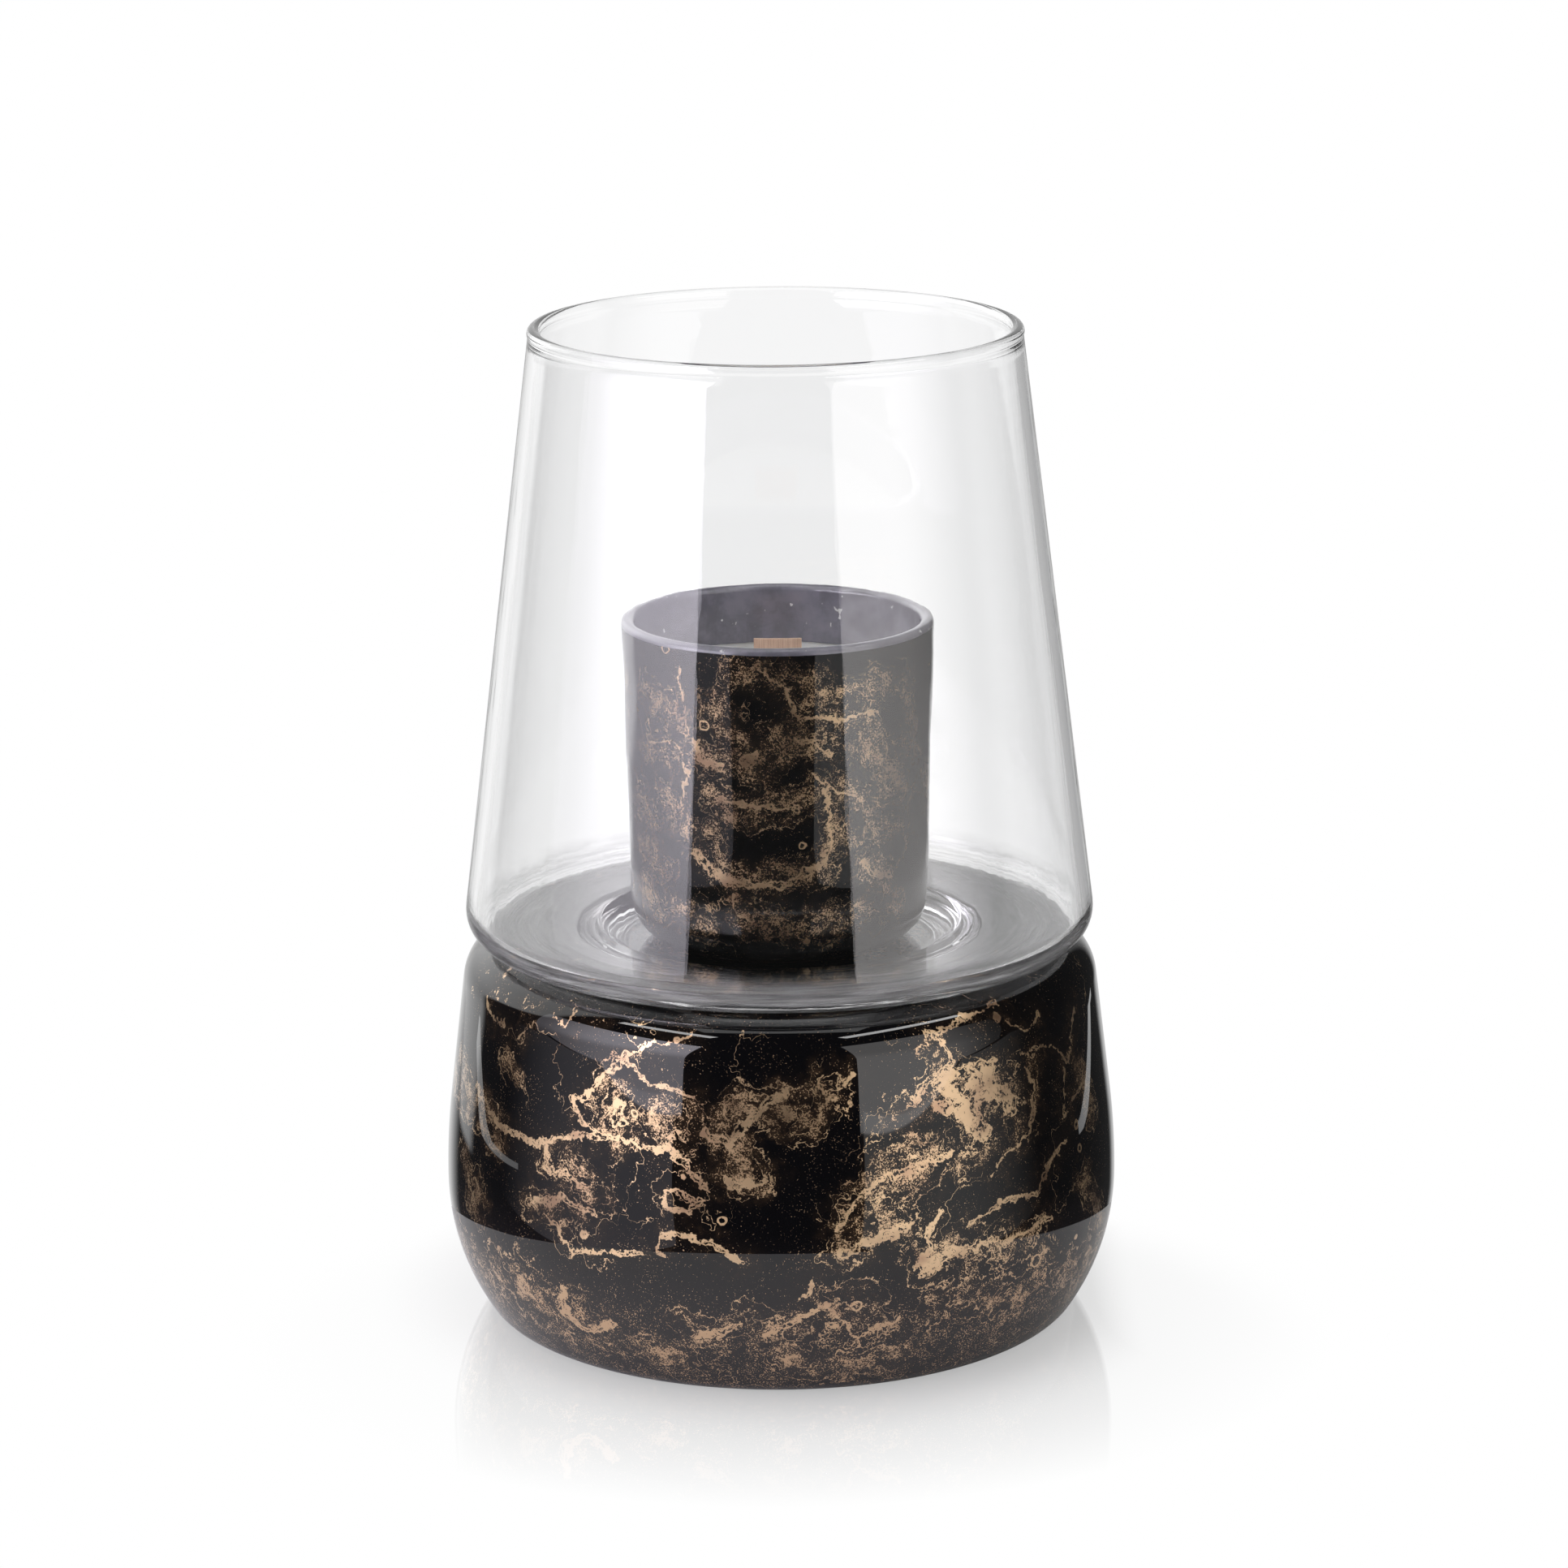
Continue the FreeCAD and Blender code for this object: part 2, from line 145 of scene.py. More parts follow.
def make_base_vessel():
    top = base_high.z
    lower_x = BELLY_RADIUS - LOWER_CURVE
    upper_x = BELLY_RADIUS - UPPER_CURVE
    rise = math.degrees(math.asin(UPPER_RISE / UPPER_CURVE))
    lean = math.tan(math.radians(rise))
    side_x = upper_x + UPPER_CURVE * math.cos(math.radians(rise))
    top_x = side_x - lean * (top - BELLY_HEIGHT - UPPER_RISE)
    under_x = top_x + lean * BASE_WALL - BASE_WALL / math.cos(math.radians(rise))
    inner_upper = UPPER_CURVE - BASE_WALL
    foot_x, foot_z, foot_angle = foot_arc(LOWER_CURVE, 0, FOOT_ROUND)
    in_x, in_z, in_angle = foot_arc(LOWER_CURVE - BASE_WALL, BASE_FLOOR, INNER_ROUND)
    section = Section(0, PUNT_DEPTH)
    section.line(PUNT_RADIUS, PUNT_DEPTH)
    section.line(PUNT_RADIUS + PUNT_DEPTH, 0)
    section.line(foot_x, 0)
    section.arc(foot_x, foot_z, 90 - foot_angle, 14)
    section.arc(lower_x, BELLY_HEIGHT, foot_angle, 16)
    section.arc(upper_x, BELLY_HEIGHT, rise, 10)
    section.line(top_x, top, SHOULDER_ROUND)
    section.line(MOUTH_RADIUS, top, MOUTH_ROUND)
    section.line(MOUTH_RADIUS, top - BASE_WALL, MOUTH_ROUND)
    section.line(under_x, top - BASE_WALL, INNER_ROUND)
    section.line(
        upper_x + inner_upper * math.cos(math.radians(rise)),
        BELLY_HEIGHT + inner_upper * math.sin(math.radians(rise)))
    section.arc(upper_x, BELLY_HEIGHT, -rise, 6)
    section.arc(lower_x, BELLY_HEIGHT, -in_angle, 10)
    section.arc(in_x, in_z, in_angle - 90, 8)
    section.line(0, BASE_FLOOR)
    return section.turned("base_vessel_marbled", 16)


# Hurricane shade: straight tapered wall with a fire-polished bead, rounded heel, floor and well.
# Glass on glass only touches at a few points, so a film of air is left under it and under the tumbler.
AIR_FILM = 0.15 * MM
SHADE_SEAT = base_high.z
SHADE_FOOT_RADIUS = 86.7 * MM
SHADE_RIM_RADIUS = 64.5 * MM
SHADE_WALL = 3 * MM
BEAD_PROUD = 0.23 * MM
SHADE_FLOOR = 4 * MM
HEEL_ROUND = 8.3 * MM
HEEL_INNER_ROUND = 5.5 * MM
WELL_RADIUS = 49.5 * MM
WELL_WALL = 3 * MM
WELL_LIP_ROUND = 1.6 * MM
WELL_EDGE_ROUND = 2.5 * MM
WELL_DISH = 10 * MM
RIPPLE_RADIUS = 78 * MM
RIPPLE_FADE = 4 * MM
RIPPLES_PER_METRE = 700
RIPPLE_DRIFT_PER_METRE = 25
RELIEF_DEPTH = 0.3 * MM
# Share of whitish frosting low on the shade, painted light that stands in for the light the floor mirrors
PAINTED_LIGHT_FROST = 0.2


def make_hurricane_shade():
    half = SHADE_WALL / 2
    bead = half + BEAD_PROUD
    bead_z = shade_high.z - bead
    dip = math.degrees(math.acos(half / bead))
    neck_z = bead_z - math.sqrt(bead ** 2 - half ** 2)
    floor_top = SHADE_SEAT + SHADE_FLOOR
    lean = (SHADE_FOOT_RADIUS - SHADE_RIM_RADIUS - half) / (neck_z - SHADE_SEAT)
    foot_in = SHADE_FOOT_RADIUS - SHADE_FLOOR * lean - SHADE_WALL
    dish_in = floor_top - jar_low.z
    section = Section(0, shade_low.z)
    section.line(WELL_RADIUS + WELL_WALL, shade_low.z, WELL_EDGE_ROUND)
    section.line(WELL_RADIUS + WELL_WALL, SHADE_SEAT + AIR_FILM)
    section.line(SHADE_FOOT_RADIUS, SHADE_SEAT + AIR_FILM, HEEL_ROUND)
    section.line(SHADE_RIM_RADIUS + half, neck_z)
    section.arc(SHADE_RIM_RADIUS, bead_z, 180 + 2 * dip, 20)
    section.line(foot_in, floor_top, HEEL_INNER_ROUND)
    section.line(WELL_RADIUS, floor_top, WELL_LIP_ROUND)
    section.line(WELL_RADIUS - dish_in, jar_low.z, WELL_DISH)
    section.line(0, jar_low.z)
    return section.turned("hurricane_shade_clear", 14)


# Candle: tumbler, wax and wick
JAR_RIM_RADIUS = 42.2 * MM
JAR_FOOT_RADIUS = 40 * MM
JAR_WALL = 3.5 * MM
JAR_HEEL_ROUND = 11 * MM
JAR_INNER_ROUND = 8 * MM
JAR_RIM_ROUND = 1.68 * MM
WAX_GAP = 0.2 * MM
MENISCUS_WIDTH = 1.6 * MM
MENISCUS_RISE = 0.5 * MM
WICK_EDGE_ROUND = 0.12 * MM


def make_candle_jar():
    section = Section(0, jar_low.z + AIR_FILM)
    section.line(JAR_FOOT_RADIUS, jar_low.z + AIR_FILM, JAR_HEEL_ROUND)
    section.line(JAR_RIM_RADIUS, jar_high.z, JAR_RIM_ROUND)
    section.line(JAR_RIM_RADIUS - JAR_WALL, jar_high.z, JAR_RIM_ROUND)
    section.line(JAR_FOOT_RADIUS - JAR_WALL, wax_low.z, JAR_INNER_ROUND)
    section.line(0, wax_low.z)
    return section.turned("candle_jar_marbled", 12)


def make_wax_fill():
    reach = wax_high.x
    foot = JAR_FOOT_RADIUS - JAR_WALL - WAX_GAP
    section = Section(0, wax_low.z)
    section.line(foot, wax_low.z, JAR_INNER_ROUND)
    section.line(reach, wax_high.z + MENISCUS_RISE)
    section.line(reach - MENISCUS_WIDTH, wax_high.z, MENISCUS_WIDTH)
    section.line(0, wax_high.z)
    return section.turned("wax_poured", 8)


def make_wood_wick():
    size = wick_high - wick_low
    middle = (wick_high + wick_low) / 2
    bm = bmesh.new()
    bmesh.ops.create_cube(bm, size=1)
    bmesh.ops.scale(bm, vec=size, verts=bm.verts)
    bmesh.ops.translate(bm, vec=middle, verts=bm.verts)
    bmesh.ops.bevel(
        bm, geom=bm.edges[:], offset=WICK_EDGE_ROUND, offset_type="OFFSET", segments=2, profile=0.5,
        affect="EDGES", material=-1)
    return finished(bm, "wood_wick_sawn")


# Material helpers


def new_material(name):
    material = bpy.data.materials.new(name)
    material.use_nodes = True
    tree = material.node_tree
    return material, tree, tree.nodes["Principled BSDF"]


def wire(tree, socket, value):
    if isinstance(value, bpy.types.NodeSocket):
        tree.links.new(value, socket)
    elif value is not None:
        socket.default_value = value


def place(tree):
    return tree.nodes.new("ShaderNodeTexCoord").outputs["Object"]


def calc(tree, operation, first, second=None, third=None):
    node = tree.nodes.new("ShaderNodeMath")
    node.operation = operation
    for socket, value in zip(node.inputs, (first, second, third)):
        wire(tree, socket, value)
    return node.outputs[0]


def fade(tree, value, low, high, start=0.0, end=1.0, smooth=True):
    """Map value from low..high to start..end, clamped."""
    node = tree.nodes.new("ShaderNodeMapRange")
    node.interpolation_type = "SMOOTHSTEP" if smooth else "LINEAR"
    names = ("Value", "From Min", "From Max", "To Min", "To Max")
    for name, given in zip(names, (value, low, high, start, end)):
        wire(tree, node.inputs[name], given)
    return node.outputs["Result"]


def cloud(tree, vector, scale, detail=2.0, roughness=0.5, colour=False):
    node = tree.nodes.new("ShaderNodeTexNoise")
    wire(tree, node.inputs["Vector"], vector)
    node.inputs["Scale"].default_value = scale
    node.inputs["Detail"].default_value = detail
    node.inputs["Roughness"].default_value = roughness
    return node.outputs["Color" if colour else "Fac"]


def moved(tree, vector, offset, stretch=(1, 1, 1)):
    node = tree.nodes.new("ShaderNodeMapping")
    wire(tree, node.inputs["Vector"], vector)
    node.inputs["Location"].default_value = offset
    node.inputs["Scale"].default_value = stretch
    return node.outputs["Vector"]


def pushed(tree, vector, push, amount):
    """Move a place by a noise colour, amount each way."""
    centred = vector_calc(tree, "SUBTRACT", push, (0.5, 0.5, 0.5))
    added = tree.nodes.new("ShaderNodeVectorMath")
    added.operation = "MULTIPLY_ADD"
    wire(tree, added.inputs[0], centred)
    added.inputs[1].default_value = (amount, amount, amount)
    wire(tree, added.inputs[2], vector)
    return added.outputs[0]


def mixed(tree, share, first, second):
    """One shader laid over another by a share."""
    node = tree.nodes.new("ShaderNodeMixShader")
    for socket, value in zip(node.inputs, (share, first, second)):
        wire(tree, socket, value)
    return node.outputs[0]


def blend(tree, share, first, second):
    """One colour laid over another by a share."""
    node = tree.nodes.new("ShaderNodeMix")
    node.data_type = "RGBA"
    wire(tree, node.inputs["Factor"], share)
    wire(tree, node.inputs["A"], first)
    wire(tree, node.inputs["B"], second)
    return node.outputs["Result"]


def axes_of(tree, vector):
    """X, Y and Z of a vector, each by itself."""
    node = tree.nodes.new("ShaderNodeSeparateXYZ")
    wire(tree, node.inputs[0], vector)
    return node.outputs["X"], node.outputs["Y"], node.outputs["Z"]


def height_of(tree, vector):
    return axes_of(tree, vector)[2]


def vector_of(tree, x, y, z=0.0):
    node = tree.nodes.new("ShaderNodeCombineXYZ")
    for socket, value in zip(node.inputs, (x, y, z)):
        wire(tree, socket, value)
    return node.outputs[0]


def vector_calc(tree, operation, first, second):
    node = tree.nodes.new("ShaderNodeVectorMath")
    node.operation = operation
    wire(tree, node.inputs[0], first)
    wire(tree, node.inputs[1], second)
    return node.outputs["Value" if operation in ("DOT_PRODUCT", "DISTANCE") else "Vector"]


def relief(tree, shader, height, strength, depth):
    bump = tree.nodes.new("ShaderNodeBump")
    bump.inputs["Strength"].default_value = strength
    bump.inputs["Distance"].default_value = depth
    wire(tree, bump.inputs["Height"], height)
    wire(tree, shader.inputs["Normal"], bump.outputs["Normal"])


# Marbling: gold on black glass. A cloud or vein is placed on the unrolled side of its piece by azimuth
# in degrees from the viewer's side, positive to the right, and by height in millimetres.
BLACK_GLASS = (0.002, 0.0019, 0.0026, 1)
BROWN_HAZE = (0.055, 0.033, 0.018, 1)
LOW_HAZE = (0.026, 0.021, 0.023, 1)
PALE_GOLD = (0.82, 0.58, 0.345, 1)
COPPER_GOLD = (0.46, 0.285, 0.175, 1)

# Each cloud: from azimuth and height, to azimuth and height, and its reach in millimetres
BASE_CLOUDS = (
    (-28, 82, -30, 72, 9), (-24, 78, -18, 76, 9), (-80, 66, -60, 66, 6), (-40, 62, -32, 54, 7),
    (-46, 48, -34, 48, 6), (-70, 50, -62, 39, 7), (-8, 79, 0, 82, 6.5), (-9, 74, -5, 64, 6.5),
    (27, 94, 33, 82, 7), (28, 76, 42, 77, 13), (25, 68, 13, 52, 11), (34, 61, 36, 66, 7),
    (10, 45, 20, 50, 6), (24, 38, 46, 38, 7), (5, 78, 8, 86, 7), (-58, 22, -44, 20, 11),
    (-39, 23, -32, 16, 8), (-14, 20, -6, 24, 7), (-2, 20, 10, 28, 9), (14, 26, 22, 16, 9),
    (28, 24, 44, 20, 10), (50, 26, 62, 18, 9), (-24, 14, -18, 12, 6), (0, 12, 20, 10, 7),
    (64, 78, 68, 63, 6), (62, 46, 69, 32, 7), (95, 60, 115, 72, 13), (130, 40, 150, 30, 11),
    (140, 85, 160, 75, 10), (-100, 80, -120, 66, 13), (-125, 40, -150, 46, 11), (-160, 75, -140, 88, 9),
    (165, 50, 172, 58, 8), (66, 20, 180, 18, 13), (-60, 20, -180, 18, 13), (-57, 82, -52, 79, 4),
    (-78, 73, -70, 69, 6), (-63, 62, -57, 58, 6), (-69, 48, -60, 42, 7), (30, 87, 37, 80, 9))
# Each vein: half width in millimetres, below 0 where only its swollen places show, then azimuths and
# heights of the points it runs through
BASE_VEINS = (
    (0.7, ((-67, 73), (-61, 67), (-48, 63), (-39, 68), (-28, 71), (-17, 69), (-14, 63), (-12, 61))),
    (0.6, ((-24, 96), (-30, 88), (-37, 78), (-36, 73), (-31, 70))),
    (0.2, ((-24, 96), (-21, 96), (-16, 99))),
    (0.3, ((-27, 90), (-21, 86), (-14, 85))),
    (0.8, ((-43, 64), (-42, 59), (-34, 55))),
    (0.8, ((-46, 50), (-39, 51), (-33, 49))),
    (0.5, ((-43, 47), (-37, 39), (-26, 40), (-24, 42))),
    (0.5, ((-20, 57), (-18, 59), (-14, 57), (-15, 53), (-19, 53), (-20, 57))),
    (0.35, ((-20, 43), (-20, 47), (-14, 47), (-6, 41))),
    (0.9, ((-40, 25), (-41, 20), (-36, 16), (-30, 19))),
    (0.6, ((-14, 19), (-8, 23))),
    (0.5, ((12, 17), (19, 22))),
    (0.15, ((-44, 99), (-41, 96), (-39, 100))),
    (0.2, ((-65, 97), (-62, 92), (-57, 91))),
    (0.2, ((-54, 89), (-49, 95))),
    (-0.2, ((-66, 103), (-61, 98))),
    (-0.2, ((-56, 104), (-53, 99), (-49, 101))),
    (-0.2, ((-42, 103), (-38, 99), (-33, 101))),
    (1.0, ((-12, 76), (-8, 72), (-2, 82), (1, 86))),
    (0.5, ((-9, 64), (-8, 62), (-2, 63))),
    (1.3, ((-28, 80), (-28, 75))),
    (0.7, ((27, 98), (31, 90), (27, 86), (24, 82))),
    (0.3, ((27, 98), (33, 101), (44, 101))),
    (3.5, ((30, 84), (38, 85))),
    (1.5, ((27, 79), (33, 76), (38, 78))),
    (3.0, ((31, 79), (36, 71))),
    (2.5, ((38, 81), (43, 75))),
    (0.2, ((47, 84), (50, 79), (48, 68), (37, 58))),
    (0.4, ((30, 65), (20, 63), (13, 58), (9, 49))),
    (0.9, ((10, 44), (21, 48))),
    (0.5, ((32, 45), (40, 50), (47, 49), (50, 55), (56, 61))),
    (1.3, ((23, 37), (31, 39))),
    (0.5, ((31, 39), (51, 40))),
    (0.4, ((23, 37), (27, 52))),
    (0.4, ((3, 32), (5, 37))),
    (0.6, ((-2, 20), (7, 30))),
    (0.2, ((7, 28), (13, 15))),
    (0.2, ((44, 96), (47, 93), (53, 96))),
    (0.2, ((49, 88), (60, 81), (65, 93))),
    (0.2, ((58, 78), (57, 67), (65, 72))),
    (0.15, ((7, 91), (7, 85), (13, 91))),
    (0.4, ((95, 52), (112, 66), (128, 60))),
    (0.3, ((150, 88), (165, 70), (172, 76))),
    (0.5, ((-96, 70), (-112, 78), (-126, 64), (-140, 70))),
    (0.3, ((-150, 52), (-166, 60), (-176, 50))))
JAR_CLOUDS = (
    (-24, 176, -14, 166, 7), (-8, 162, 12, 169, 9), (-32, 163, -12, 161, 6), (-27, 152, -18, 149, 6),
    (-8, 150, 12, 154, 7), (-26, 142, -22, 132, 5), (-20, 130, 16, 131, 6), (20, 150, 20, 138, 5),
    (8, 182, 18, 178, 6), (-56, 162, -40, 160, 6), (-66, 146, -58, 142, 7), (34, 172, 42, 158, 8),
    (34, 131, 46, 128, 6), (-14, 186, 14, 184, 6), (-12, 118, 20, 118, 7), (-62, 124, -52, 116, 6),
    (26, 154, 36, 146, 6), (70, 150, 90, 140, 9), (100, 175, 125, 165, 9), (130, 130, 150, 140, 9),
    (-80, 175, -100, 168, 9), (-90, 125, -120, 135, 9), (-140, 155, -160, 165, 9), (150, 180, 170, 172, 8),
    (-52, 178, -40, 171, 7), (-45, 150, -38, 141, 7), (-62, 135, -48, 130, 7), (-42, 120, -30, 116, 6),
    (36, 164, 52, 150, 9), (28, 140, 52, 141, 8), (55, 176, 62, 160, 7), (30, 119, 50, 118, 7),
    (24, 182, 42, 180, 6))
JAR_VEINS = (
    (0.15, ((-38, 186), (-37, 173), (-35, 168))),
    (0.25, ((-9, 189), (2, 181), (9, 174), (22, 173), (38, 174))),
    (0.4, ((9, 174), (22, 173))),
    (0.3, ((6, 169), (15, 166), (21, 164))),
    (0.6, ((-33, 166), (-30, 162), (-21, 160))),
    (0.7, ((-14, 161), (-8, 164))),
    (0.3, ((12, 158), (17, 155), (33, 150))),
    (0.9, ((-32, 135), (-27, 132), (-18, 129), (-5, 128), (5, 130), (15, 133))),
    (0.3, ((17, 154), (20, 139), (15, 133))),
    (0.25, ((-22, 151), (-1, 149), (9, 150))),
    (0.15, ((-17, 126), (-17, 121), (-10, 118))),
    (0.15, ((-55, 164), (-41, 165), (-36, 158), (-39, 147))),
    (0.6, ((32, 133), (38, 130), (46, 127))),
    (0.3, ((90, 140), (105, 160), (125, 165))),
    (0.3, ((-90, 165), (-110, 150), (-135, 158))))
# Radius of the unrolled side, size of the pattern, width of its tide lines in parts of its cover, and the
# share of speckle that is left in its thinnest places
BASE_MARBLING = {
    "radius": BELLY_RADIUS, "size": 1.0, "lace": 0.055, "mist": 0.1,
    "clouds": BASE_CLOUDS, "veins": BASE_VEINS}
JAR_MARBLING = {
    "radius": JAR_RIM_RADIUS, "size": 0.75, "lace": 0.03, "mist": 0.35,
    "clouds": JAR_CLOUDS, "veins": JAR_VEINS}
# These go with the size of the pattern: the pushes that bend it, how its veins thin and swell and how far
# the speckle beside them reaches
SLOW_PUSH = 9 * MM
QUICK_PUSH = 4.5 * MM
VEIN_THINNED = 1.9 * MM
VEIN_SWELL = 4 * MM
VEIN_DUST_REACH = 8 * MM
# These are the same on both pieces: the border that stays solid round a vein, the push on the rings, the
# step between tide lines and the width of stray lines, the last two in parts of their own noise
VEIN_SOFT_EDGE = 0.2 * MM
VEIN_BORDER = 0.4 * MM
VEIN_BORDER_END = 0.6 * MM
RING_PUSH = 1.5 * MM
TIDE_STEP = 0.22
STRAY_WIDTH = 0.0035
# Heights below which the base carries dust and turns to copper
FOOT_DUST_FULL = 15 * MM
FOOT_DUST_END = 45 * MM
COPPER_FULL = 20 * MM
COPPER_END = 50 * MM


def unrolled(tree, vector, radius):
    """Place on the unrolled side: arc length from the viewer's side, then height."""
    x, y, z = axes_of(tree, vector)
    azimuth = calc(tree, "ARCTAN2", x, calc(tree, "MULTIPLY", y, -1))
    return vector_of(tree, calc(tree, "MULTIPLY", azimuth, radius), z)


def side_point(radius, azimuth, height):
    return Vector((math.radians(azimuth) * radius, height * MM, 0))


def distance_to_run(tree, spot, start, end):
    """Distance from a spot on the unrolled side to a straight run."""
    run = end - start
    from_start = vector_calc(tree, "SUBTRACT", spot, start)
    share = vector_calc(tree, "DOT_PRODUCT", from_start, run / run.length_squared)
    along = tree.nodes.new("ShaderNodeClamp")
    wire(tree, along.inputs["Value"], share)
    nearest = tree.nodes.new("ShaderNodeVectorMath")
    nearest.operation = "SCALE"
    nearest.inputs[0].default_value = run
    wire(tree, nearest.inputs["Scale"], along.outputs[0])
    return vector_calc(tree, "DISTANCE", from_start, nearest.outputs["Vector"])


def cloud_cover(tree, spot, radius, clouds):
    """1 in the middle of a cloud, 0 at its reach and below that outside."""
    cover = -0.8
    for azimuth, height, end_azimuth, end_height, reach in clouds:
        away = distance_to_run(
            tree, spot, side_point(radius, azimuth, height), side_point(radius, end_azimuth, end_height))
        depth = calc(tree, "MULTIPLY_ADD", away, -1 / (reach * MM), 1)
        cover = calc(tree, "MAXIMUM", depth, cover)
    return cover


def vein_distance(tree, spot, radius, veins):
    """Distance to the nearest vein's edge, below 0 inside the vein."""
    nearest = 1.0
    for half_width, vein in veins:
        points = [side_point(radius, *point) for point in vein]
        for start, end in zip(points, points[1:]):
            off = calc(tree, "SUBTRACT", distance_to_run(tree, spot, start, end), half_width * MM)
            nearest = calc(tree, "MINIMUM", off, nearest)
    return nearest


def small_rings(tree, spot, scale, ring, line):
    """Little rings left by burst bubbles, in about one cell out of five."""
    cells = tree.nodes.new("ShaderNodeTexVoronoi")
    wire(tree, cells.inputs["Vector"], spot)
    cells.inputs["Scale"].default_value = scale
    cells.inputs["Randomness"].default_value = 0.8
    split = tree.nodes.new("ShaderNodeSeparateColor")
    wire(tree, split.inputs[0], cells.outputs["Color"])
    radius = fade(tree, split.outputs["Green"], 0, 1, 0.5 * ring, 1.3 * ring)
    off = calc(tree, "ABSOLUTE", calc(tree, "SUBTRACT", cells.outputs["Distance"], radius))
    there = calc(tree, "GREATER_THAN", split.outputs["Red"], 0.8)
    return calc(tree, "MULTIPLY", fade(tree, off, 0.5 * line, line, 1, 0), there)


def marbled_gold(tree, here, radius, size, lace, mist, clouds, veins):
    """Gold in lines and patches, gold in fine speckle, and how dense the gold is around each point."""
    slow = cloud(tree, here, 75 / size, 3, 0.55, colour=True)
    quick = cloud(tree, here, 300 / size, 3, 0.65, colour=True)
    warped = pushed(tree, pushed(tree, here, slow, SLOW_PUSH * size), quick, QUICK_PUSH * size)
    spot = unrolled(tree, warped, radius)
    # Veins, swelling and breaking off, the wide ones only partly filled inside their borders
    beyond = vein_distance(tree, spot, radius, veins)
    swing = cloud(tree, here, 260 / size, 4, 0.75)
    patch = cloud(tree, moved(tree, warped, (0.5, 0.8, 0.2)), 210 / size, 5, 0.7)
    thinned = calc(tree, "ADD", beyond, VEIN_THINNED * size)
    off = calc(tree, "MULTIPLY_ADD", swing, -VEIN_SWELL * size, thinned)
    vein = fade(tree, off, 0.0, VEIN_SOFT_EDGE, 1, 0)
    border = fade(tree, off, -VEIN_BORDER_END, -VEIN_BORDER)
    vein = calc(tree, "MULTIPLY", vein, calc(tree, "MAXIMUM", border, fade(tree, patch, 0.46, 0.5)))
    # Clouds with ragged borders, and tide lines one inside the other along the borders
    swirl = cloud(tree, warped, 75 / size, 5, 0.62)
    cover = calc(tree, "MULTIPLY_ADD", swirl, 3.2, -1.8)
    cover = calc(tree, "ADD", cover, cloud_cover(tree, spot, radius, clouds))
    swell = cloud(tree, moved(tree, here, (0.3, 0.1, 0.7)), 110 / size, 4, 0.65)
    width = fade(tree, swell, 0.4, 0.64, 0.0, lace)
    step = calc(tree, "PINGPONG", calc(tree, "MAXIMUM", cover, -0.2), TIDE_STEP)
    tide = fade(tree, step, calc(tree, "MULTIPLY", width, 0.5), width, 1, 0)
    # Speckle inside the clouds and beside the veins, a few solid patches, dust everywhere
    inside = fade(tree, cover, -0.45, 0.6)
    lean = calc(tree, "MULTIPLY_ADD", cover, 0.08, patch)
    beside = fade(tree, beyond, 0, VEIN_DUST_REACH * size, 0.9, 0)
    gathered = calc(tree, "MAXIMUM", inside, beside)
    crowd = calc(tree, "MULTIPLY", gathered, fade(tree, lean, 0.4, 0.72, mist, 1.0))
    solid = calc(tree, "MULTIPLY", inside, fade(tree, lean, 0.66, 0.72))
    dust = fade(tree, swell, 0.35, 0.7, 0.08, 0.34)
    foot_dust = fade(tree, height_of(tree, here), FOOT_DUST_FULL, FOOT_DUST_END, 0.6, 0)
    foot_dust = calc(tree, "MULTIPLY", fade(tree, patch, 0.35, 0.6, 0.3, 1), foot_dust)
    dust = calc(tree, "MAXIMUM", dust, foot_dust)
    grain = cloud(tree, here, 2300, 2, 0.7)
    limit = fade(tree, calc(tree, "MAXIMUM", crowd, dust), 0, 1, 0.76, 0.44, smooth=False)
    speckle = fade(tree, calc(tree, "SUBTRACT", grain, limit), -0.02, 0.04)
    # Fine stray lines and little rings
    stray = cloud(tree, moved(tree, warped, (0.61, 0.07, 0.35)), 48 / size, 3, 0.5)
    where = cloud(tree, moved(tree, here, (0.9, 0.2, 0.4)), 38 / size, 2, 0.5)
    stray_width = fade(tree, where, 0.5, 0.62, 0.0, STRAY_WIDTH)
    stray_off = calc(tree, "ABSOLUTE", calc(tree, "SUBTRACT", stray, 0.5))
    fine = fade(tree, stray_off, calc(tree, "MULTIPLY", stray_width, 0.5), stray_width, 1, 0)
    rings = small_rings(tree, pushed(tree, here, quick, RING_PUSH), 85 / size, 0.12, 0.03)
    lines = calc(tree, "MAXIMUM", calc(tree, "MAXIMUM", tide, vein), calc(tree, "MAXIMUM", fine, rings))
    # Tiny gaps tear the lines and the solid patches
    torn = fade(tree, cloud(tree, here, 800, 2, 0.6), 0.3, 0.4)
    return calc(tree, "MULTIPLY", calc(tree, "MAXIMUM", lines, solid), torn), speckle, crowd


